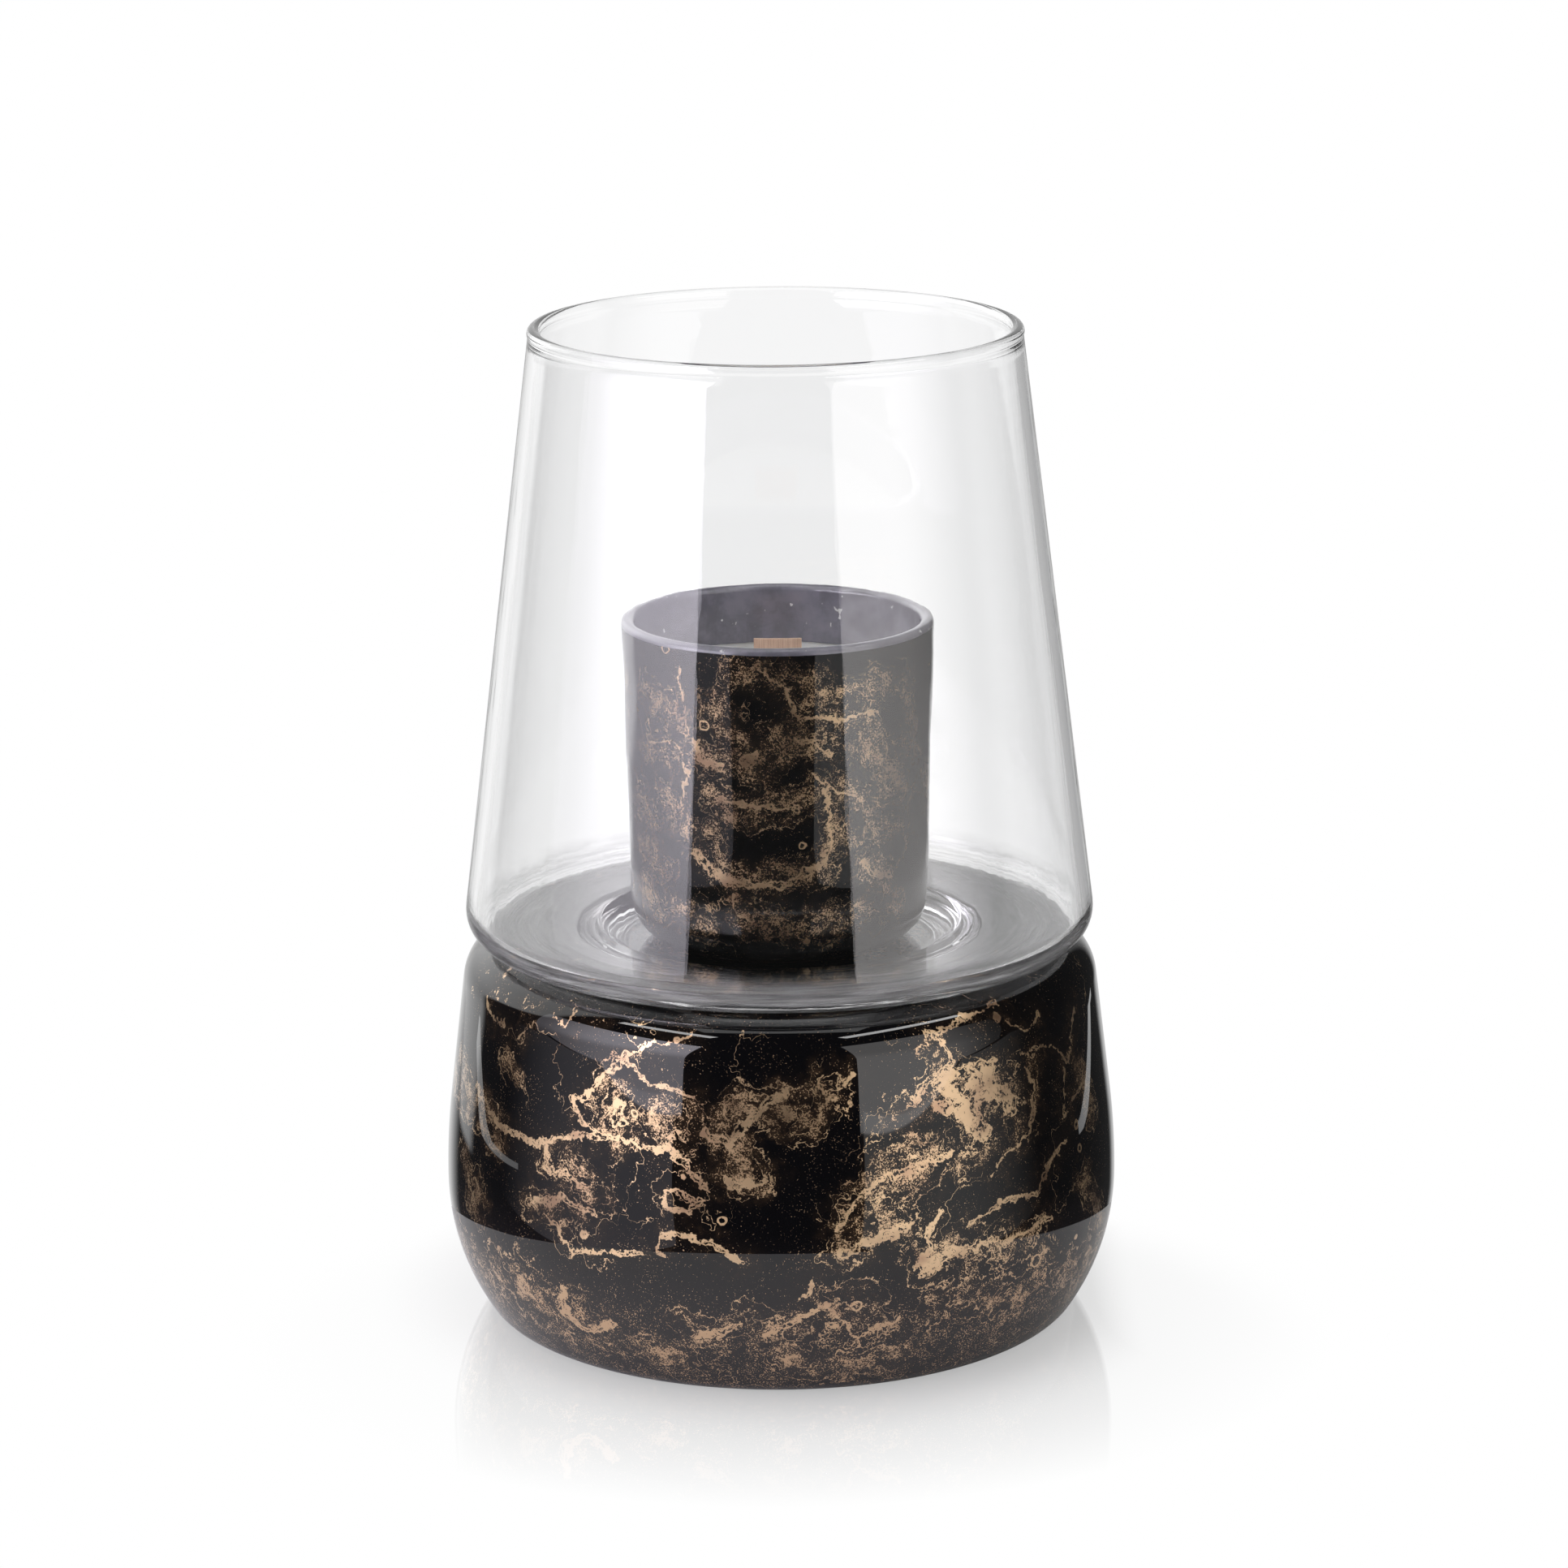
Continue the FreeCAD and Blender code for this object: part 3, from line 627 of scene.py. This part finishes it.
def marbled_glass(name, marbling):
    material, tree, shader = new_material(name)
    here = place(tree)
    lines, speckle, crowd = marbled_gold(tree, here, **marbling)
    tone = cloud(tree, here, 70 / marbling["size"], 3, 0.6)
    low = fade(tree, height_of(tree, here), COPPER_FULL, COPPER_END, 0.75, 0)
    copper = calc(tree, "MAXIMUM", fade(tree, tone, 0.3, 0.6, 1, 0), low)
    copper = calc(tree, "MAXIMUM", copper, calc(tree, "MULTIPLY_ADD", lines, -0.4, 0.4))
    gold_colour = blend(tree, copper, PALE_GOLD, COPPER_GOLD)
    ground = blend(tree, calc(tree, "MULTIPLY", crowd, 0.8), BLACK_GLASS, BROWN_HAZE)
    ground = blend(tree, calc(tree, "MULTIPLY", low, 0.7), ground, LOW_HAZE)
    gold = calc(tree, "MAXIMUM", lines, speckle)
    wire(tree, shader.inputs["Base Color"], blend(tree, gold, ground, gold_colour))
    wire(tree, shader.inputs["Metallic"], gold)
    wire(tree, shader.inputs["Roughness"], fade(tree, tone, 0.3, 0.7, 0.28, 0.42))
    shader.inputs["Coat Weight"].default_value = 1.0
    shader.inputs["Coat Roughness"].default_value = 0.015
    shader.inputs["Specular IOR Level"].default_value = 0.0
    return material


# Colours of the other finishes
SMOKE_DARK = (0.16, 0.155, 0.19, 1)
SMOKE_PALE = (0.26, 0.25, 0.3, 1)
SMOKE_FLECK = (0.75, 0.75, 0.75, 1)
CLEAR = (0.987, 0.988, 0.99, 1)
WAX_DARK = (0.74, 0.73, 0.69, 1)
WAX_PALE = (0.82, 0.81, 0.78, 1)
WOOD_DARK = (0.72, 0.46, 0.31, 1)
WOOD_PALE = (0.95, 0.7, 0.53, 1)
TIN_DARK = (0.5, 0.5, 0.5, 1)
TIN_PALE = (0.68, 0.68, 0.67, 1)
FOAM_DARK = (0.7, 0.7, 0.68, 1)
FOAM_PALE = (0.86, 0.86, 0.85, 1)


def smoked_glass():
    """Bare inside of the tumbler, misty, with a few pale flecks."""
    material, tree, shader = new_material("smoked_glass")
    here = place(tree)
    mist = cloud(tree, here, 140, 5, 0.65)
    colour = blend(tree, fade(tree, mist, 0.3, 0.7), SMOKE_DARK, SMOKE_PALE)
    fleck = fade(tree, cloud(tree, moved(tree, here, (0.2, 0.6, 0.1)), 420, 2, 0.6), 0.7, 0.74)
    wire(tree, shader.inputs["Base Color"], blend(tree, fleck, colour, SMOKE_FLECK))
    shader.inputs["Roughness"].default_value = 0.3
    shader.inputs["Coat Weight"].default_value = 1.0
    shader.inputs["Coat Roughness"].default_value = 0.03
    return material


def clear_glass():
    """Clear glass: ripples in rings on the floor, faint lines up the wall, and whitish frosting in streaks
    round the heel and the outer floor. The frosting is painted light: it stands in for the light that the
    floor mirrors and leads round inside the glass."""
    material, tree, shader = new_material("clear_glass")
    here = place(tree)
    shader.inputs["Base Color"].default_value = CLEAR
    shader.inputs["Roughness"].default_value = 0.0
    shader.inputs["IOR"].default_value = 1.48
    x, y, z = axes_of(tree, here)
    radius = vector_calc(tree, "DISTANCE", vector_of(tree, x, y), (0, 0, 0))
    upper_face = fade(tree, z, SHADE_SEAT + 0.6 * SHADE_FLOOR, SHADE_SEAT + 0.9 * SHADE_FLOOR)
    within = fade(tree, radius, RIPPLE_RADIUS - RIPPLE_FADE, RIPPLE_RADIUS, 1, 0)
    floor_only = calc(tree, "MULTIPLY", upper_face, within)
    ring_place = vector_of(
        tree, calc(tree, "MULTIPLY", radius, RIPPLES_PER_METRE),
        calc(tree, "MULTIPLY", x, RIPPLE_DRIFT_PER_METRE), calc(tree, "MULTIPLY", y, RIPPLE_DRIFT_PER_METRE))
    ripples = calc(tree, "MULTIPLY", cloud(tree, ring_place, 1.0, 2, 0.5), floor_only)
    wall_lines = cloud(tree, moved(tree, here, (0, 0, 0), (1, 1, 0.03)), 160, 2, 0.5)
    height = calc(tree, "MULTIPLY_ADD", ripples, 0.1, calc(tree, "MULTIPLY", wall_lines, 0.12))
    # Painted light: whitish frosting in streaks on the heel and outer floor, standing in for the light that
    # the floor mirrors and leads round
    low_glass = fade(tree, z, SHADE_SEAT + SHADE_FLOOR, SHADE_SEAT + 3 * SHADE_FLOOR, 1, 0)
    outer = fade(tree, radius, 0.6 * SHADE_FOOT_RADIUS, 0.8 * SHADE_FOOT_RADIUS)
    outer = calc(tree, "MULTIPLY", low_glass, outer)
    streak = fade(tree, cloud(tree, ring_place, 2.0, 3, 0.6), 0.38, 0.66, 0.3, 1.3)
    painted_light_frost = calc(tree, "MULTIPLY", calc(tree, "MULTIPLY", outer, streak), PAINTED_LIGHT_FROST)
    wire(tree, shader.inputs["Transmission Weight"], calc(tree, "SUBTRACT", 1, painted_light_frost))
    relief(tree, shader, height, 1.0, RELIEF_DEPTH)
    return material


def candle_wax():
    material, tree, shader = new_material("candle_wax")
    here = place(tree)
    bloom = cloud(tree, here, 180, 4, 0.6)
    wire(tree, shader.inputs["Base Color"], blend(tree, fade(tree, bloom, 0.3, 0.7), WAX_DARK, WAX_PALE))
    shader.inputs["Roughness"].default_value = 0.42
    shader.inputs["Subsurface Weight"].default_value = 0.3
    shader.inputs["Subsurface Radius"].default_value = (0.006, 0.005, 0.004)
    relief(tree, shader, cloud(tree, here, 90, 3, 0.5), 0.25, 0.4 * MM)
    return material


def wick_wood():
    material, tree, shader = new_material("wick_wood")
    here = place(tree)
    grain = cloud(tree, moved(tree, here, (0, 0, 0), (1, 1, 0.06)), 1800, 3, 0.6)
    wire(tree, shader.inputs["Base Color"], blend(tree, fade(tree, grain, 0.3, 0.7), WOOD_DARK, WOOD_PALE))
    shader.inputs["Roughness"].default_value = 0.7
    relief(tree, shader, grain, 0.4, 0.2 * MM)
    return material


def tinned_sheet():
    material, tree, shader = new_material("tinned_sheet")
    here = place(tree)
    brushed = cloud(tree, moved(tree, here, (0, 0, 0), (1, 0.05, 1)), 2500, 2, 0.5)
    wire(tree, shader.inputs["Base Color"], blend(tree, brushed, TIN_DARK, TIN_PALE))
    shader.inputs["Metallic"].default_value = 1.0
    wire(tree, shader.inputs["Roughness"], fade(tree, brushed, 0.3, 0.7, 0.28, 0.45))
    return material


def foam_tab():
    material, tree, shader = new_material("foam_tab")
    here = place(tree)
    cells = cloud(tree, here, 2200, 2, 0.6)
    wire(tree, shader.inputs["Base Color"], blend(tree, fade(tree, cells, 0.35, 0.65), FOAM_DARK, FOAM_PALE))
    shader.inputs["Roughness"].default_value = 0.85
    return material


def dress_node(node, material):
    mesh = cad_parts[node].data
    mesh.materials.clear()
    mesh.materials.append(material)


# The pieces and their finishes
base_piece = make_base_vessel()
base_piece.data.materials.append(marbled_glass("marbled_base_glass", BASE_MARBLING))
stand_for(base_piece, "base_vessel", "base")

shade_piece = make_hurricane_shade()
shade_piece.data.materials.append(clear_glass())
stand_for(shade_piece, "hurricane_shade", "shade")

jar_piece = make_candle_jar()
jar_piece.data.materials.append(marbled_glass("marbled_jar_glass", JAR_MARBLING))
jar_piece.data.materials.append(smoked_glass())
stand_for(jar_piece, "candle_jar", "candle")
for face in jar_piece.data.polygons:
    middle = face.center
    inside = face.normal.x * middle.x + face.normal.y * middle.y < 0
    if middle.z > wax_low.z and (inside or middle.z > jar_high.z - JAR_RIM_ROUND):
        face.material_index = 1

wax_piece = make_wax_fill()
wax_piece.data.materials.append(candle_wax())
stand_for(wax_piece, "wax_fill", "candle")

wick_piece = make_wood_wick()
wick_piece.data.materials.append(wick_wood())
stand_for(wick_piece, "wood_wick", "candle")

dress_node("wick_clip", tinned_sheet())
dress_node("wick_sticker", foam_tab())


# Studio: small round white table, white behind, two soft boxes beside the viewer and strips round about
TABLE_MIDDLE = -0.07
TABLE_RADIUS = 0.175
TABLE_COLOUR = (0.95, 0.95, 0.95, 1)
# The table turns plain white outside the lantern's shadow, to the right and at its rim, and the shadow
# is lifted by a share of that white
TABLE_WHITE_FROM = 0.083
TABLE_WHITE_TO = 0.115
TABLE_WHITE_RIGHT_FROM = 0.065
TABLE_WHITE_RIGHT_TO = 0.1
RIM_WHITE_FROM = 0.85 * TABLE_RADIUS
RIM_WHITE_TO = 0.97 * TABLE_RADIUS
SHADOW_LIFT = 0.66
# Its mirror image fades with the distance from the lantern and is gone at its rim
MIRROR_SHARE = 0.37
MIRROR_NEAR = 0.07
MIRROR_FAR = 0.158
RIM_MIRROR_FROM = 0.75 * TABLE_RADIUS
RIM_MIRROR_TO = 0.95 * TABLE_RADIUS
MIRROR_ROUGHNESS = 0.008
# What the clear glass shows of the white surroundings: light led round inside it, the same light
# where the wall alone mirrors it, and the sharp mirror image on its surface
GLASS_GLOW = 0.9
WALL_GLOW = 0.68
SHARP_MIRROR = 0.55
# Directions that are counted as downwards, by the Z of a ray
DOWN_FULL = -0.12
DOWN_END = -0.06
# Level of the surroundings where they are neither white behind nor pale on the left
DARK_ROOM = 0.04
LAMP_DISTANCE = 1.6
LAMP_AIM = Vector((0, 0, 0.1))
COOL_WHITE = (1.0, 0.955, 1.06)
WARM_WHITE = (1.02, 0.99, 0.98)
# Where a lamp that is dimmed on one side starts from and where it is full, across its width
DIM_RUN = {"left": (0, 0.6), "right": (1, 0.4)}


def straight_look(tree):
    """1 where the viewer looks straight at a place or through clear glass, 0 in reflections and light."""
    ray = tree.nodes.new("ShaderNodeLightPath")
    direct = calc(tree, "MAXIMUM", ray.outputs["Is Camera Ray"], ray.outputs["Is Transmission Ray"])
    bounced = calc(tree, "ADD", ray.outputs["Glossy Depth"], ray.outputs["Diffuse Depth"])
    return calc(tree, "MULTIPLY", direct, calc(tree, "LESS_THAN", bounced, 0.5))


def led_through_glass(tree, onward, upward):
    """1 where light has been led round inside the clear glass and leaves it away from the viewer.
    What leaves it downwards was only mirrored in the wall and is dimmer."""
    ray = tree.nodes.new("ShaderNodeLightPath")
    turned_back = calc(tree, "GREATER_THAN", ray.outputs["Glossy Depth"], 0.5)
    one_glass = calc(tree, "LESS_THAN", ray.outputs["Transmission Depth"], 2.5)
    led_far = calc(tree, "GREATER_THAN", ray.outputs["Glossy Depth"], 1.5)
    led = calc(tree, "MULTIPLY", turned_back, calc(tree, "MAXIMUM", one_glass, led_far))
    led = calc(tree, "MULTIPLY", led, ray.outputs["Is Transmission Ray"])
    led = calc(tree, "MULTIPLY", led, fade(tree, upward, DOWN_FULL, DOWN_END, WALL_GLOW, 1))
    return calc(tree, "MULTIPLY", led, fade(tree, onward, 0.0, 0.2))


def sharp_mirror(tree):
    """1 in the mirror image on the polished clear glass alone, 0 elsewhere."""
    ray = tree.nodes.new("ShaderNodeLightPath")
    return calc(tree, "MULTIPLY", ray.outputs["Is Singular Ray"], ray.outputs["Is Reflection Ray"])


def white_table():
    """Matt white with a soft shadow, plain white further out, and a faint mirror image near the lantern."""
    material = bpy.data.materials.new("white_table")
    material.use_nodes = True
    tree = material.node_tree
    tree.nodes.clear()
    here = place(tree)
    matt = tree.nodes.new("ShaderNodeBsdfDiffuse")
    matt.inputs["Color"].default_value = TABLE_COLOUR
    mirror = tree.nodes.new("ShaderNodeBsdfGlossy")
    mirror.inputs["Roughness"].default_value = MIRROR_ROUGHNESS
    mirror.inputs["Color"].default_value = (1, 1, 1, 1)
    white = tree.nodes.new("ShaderNodeEmission")
    away = vector_calc(tree, "DISTANCE", here, (0, 0, 0))
    rim = vector_calc(tree, "DISTANCE", here, (0, TABLE_MIDDLE, 0))
    across, _, _ = axes_of(tree, here)
    lift = fade(tree, away, TABLE_WHITE_FROM, TABLE_WHITE_TO, SHADOW_LIFT, 1)
    lift = calc(tree, "MAXIMUM", lift, fade(tree, rim, RIM_WHITE_FROM, RIM_WHITE_TO))
    lift = calc(tree, "MAXIMUM", lift, fade(tree, across, TABLE_WHITE_RIGHT_FROM, TABLE_WHITE_RIGHT_TO))
    lifted = calc(tree, "MULTIPLY", straight_look(tree), lift)
    seen = mixed(tree, lifted, matt.outputs[0], white.outputs[0])
    share = fade(tree, away, MIRROR_NEAR, MIRROR_FAR, MIRROR_SHARE, 0, smooth=False)
    share = calc(tree, "MULTIPLY", share, fade(tree, rim, RIM_MIRROR_FROM, RIM_MIRROR_TO, 1, 0))
    share = calc(tree, "MULTIPLY", share, straight_look(tree))
    out = tree.nodes.new("ShaderNodeOutputMaterial")
    wire(tree, out.inputs["Surface"], mixed(tree, share, seen, mirror.outputs[0]))
    return material


def make_table():
    bm = bmesh.new()
    bmesh.ops.create_circle(bm, cap_ends=True, segments=128, radius=TABLE_RADIUS)
    bmesh.ops.translate(bm, vec=(0, TABLE_MIDDLE, 0), verts=bm.verts)
    table = finished(bm, "studio_table")
    table.data.materials.append(white_table())


def make_world():
    """White to look at. In reflections it is white behind, pale on the left and dark elsewhere."""
    world = bpy.data.worlds.new("studio")
    bpy.context.scene.world = world
    world.use_nodes = True
    tree = world.node_tree
    background = tree.nodes["Background"]
    across, onward, upward = axes_of(tree, tree.nodes.new("ShaderNodeTexCoord").outputs["Generated"])
    # White behind, dimmer right of the middle and ending further right
    behind = fade(tree, onward, 0.78, 0.92)
    behind = calc(tree, "MULTIPLY", behind, fade(tree, across, 0.25, 0.42, 1, 0))
    behind = calc(tree, "MULTIPLY", behind, fade(tree, across, -0.05, 0.06, 0.92, 0.72))
    # Pale on the left, behind an edge that comes forward with height, and brighter higher up
    edge = fade(tree, upward, -0.05, 0.45, 0.66, 0.1)
    left = fade(tree, calc(tree, "SUBTRACT", onward, edge), -0.04, 0.04)
    left = calc(tree, "MULTIPLY", left, fade(tree, across, -0.2, -0.35))
    left = calc(tree, "MULTIPLY", left, fade(tree, upward, -0.262, -0.245))
    left = calc(tree, "MULTIPLY", left, fade(tree, upward, -0.05, 0.3, 1.05, 1.6))
    pale = calc(tree, "MAXIMUM", calc(tree, "MAXIMUM", behind, left), DARK_ROOM)
    # Dimmer in the sharp mirror image on the shade's wall
    dimmed = calc(tree, "MULTIPLY", sharp_mirror(tree), fade(tree, upward, DOWN_FULL, DOWN_END, 1, 0))
    pale = calc(tree, "MULTIPLY", pale, fade(tree, dimmed, 0, 1, 1, SHARP_MIRROR))
    led = calc(tree, "MULTIPLY", led_through_glass(tree, onward, upward), GLASS_GLOW)
    pale = calc(tree, "MAXIMUM", pale, led)
    wire(tree, background.inputs["Strength"], calc(tree, "MAXIMUM", pale, straight_look(tree)))
    background.inputs["Color"].default_value = (1, 1, 1, 1)


def soft_box(
        name, azimuth, elevation, width, height, glow, dim_side=None, side_level=1.0, low_level=1.0,
        colour=(1, 1, 1)):
    """Area lamp facing the lantern. Azimuth 0 is the viewer's side, positive to the right.
    It goes to side_level towards its left or right edge and to low_level towards its lower edge."""
    lamp = bpy.data.lights.new(name, "AREA")
    lamp.shape = "RECTANGLE"
    lamp.color = colour
    lamp.size = width
    lamp.size_y = height
    lamp.energy = glow * math.pi * width * height
    lamp.use_nodes = True
    tree = lamp.node_tree
    across, up, _ = axes_of(tree, tree.nodes.new("ShaderNodeTexCoord").outputs["UV"])
    level = fade(tree, up, 0.05, 0.45, low_level, 1)
    if dim_side:
        start, full = DIM_RUN[dim_side]
        level = calc(tree, "MULTIPLY", level, fade(tree, across, start, full, side_level, 1))
    wire(tree, tree.nodes["Emission"].inputs["Strength"], level)
    piece = bpy.data.objects.new(name, lamp)
    bpy.context.scene.collection.objects.link(piece)
    turn = math.radians(azimuth)
    tilt = math.radians(elevation)
    away = Vector((math.sin(turn) * math.cos(tilt), -math.cos(turn) * math.cos(tilt), math.sin(tilt)))
    piece.location = LAMP_AIM + away * LAMP_DISTANCE
    piece.rotation_euler = away.to_track_quat("Z", "Y").to_euler()
    return piece


make_table()
make_world()
soft_box(
    "soft_box_left", azimuth=-63.5, elevation=13.5, width=1.96, height=1.133, glow=4.6,
    dim_side="left", side_level=0.2, low_level=0.56, colour=COOL_WHITE)
soft_box(
    "low_box_left", azimuth=-72, elevation=-13, width=2.3, height=0.393, glow=0.7,
    dim_side="left", side_level=0, colour=COOL_WHITE)
soft_box(
    "soft_box_right", azimuth=54, elevation=13.5, width=1.77, height=1.133, glow=1.6,
    dim_side="right", side_level=0.1, low_level=1.35, colour=WARM_WHITE)
soft_box(
    "low_box_right", azimuth=62, elevation=-13, width=2.2, height=0.393, glow=0.8,
    dim_side="right", side_level=0)
soft_box("top_fill", azimuth=0, elevation=88, width=1.2, height=1.2, glow=1.4)
soft_box("top_strip_left", azimuth=-56, elevation=54, width=0.9, height=0.12, glow=8.0)
soft_box("top_strip_right", azimuth=60, elevation=54, width=1.2, height=0.12, glow=8.0)
low_strips = (
    soft_box("low_strip_left", azimuth=-116, elevation=-13, width=1.0, height=0.021, glow=1.1),
    soft_box("low_strip_right", azimuth=134, elevation=-13.5, width=0.75, height=0.015, glow=1.1))
# The low strips are screened off from the candle and the shade and light the base alone
strips_light = bpy.data.collections.new("strips_light")
strips_light.objects.link(base_piece)
for strip in low_strips:
    strip.light_linking.receiver_collection = strips_light

# The shade's heel and floor lead light round by many turns inside the glass
bpy.context.scene.cycles.glossy_bounces = 10
bpy.context.scene.cycles.max_bounces = 18


# Camera: the photograph's place, fitted to the ellipses of the rims and to the outlines
CAMERA_DISTANCE = 1.3532
CAMERA_HEIGHT = 0.4926
CAMERA_PITCH = 14.379
CAMERA_ROLL = -0.4
CAMERA_LENS = 117.9
CAMERA_SHIFT = 0.0034


def make_camera():
    camera = bpy.data.cameras.new("camera")
    camera.sensor_width = 36
    camera.lens = CAMERA_LENS
    camera.shift_x = CAMERA_SHIFT
    camera.clip_start = 0.05
    camera.clip_end = 50
    piece = bpy.data.objects.new("camera", camera)
    bpy.context.scene.collection.objects.link(piece)
    piece.location = (0, -CAMERA_DISTANCE, CAMERA_HEIGHT)
    piece.rotation_mode = "ZYX"
    piece.rotation_euler = (math.radians(90 - CAMERA_PITCH), 0, math.radians(CAMERA_ROLL))
    bpy.context.scene.camera = piece


make_camera()
bpy.context.scene.view_settings.view_transform = "Standard"
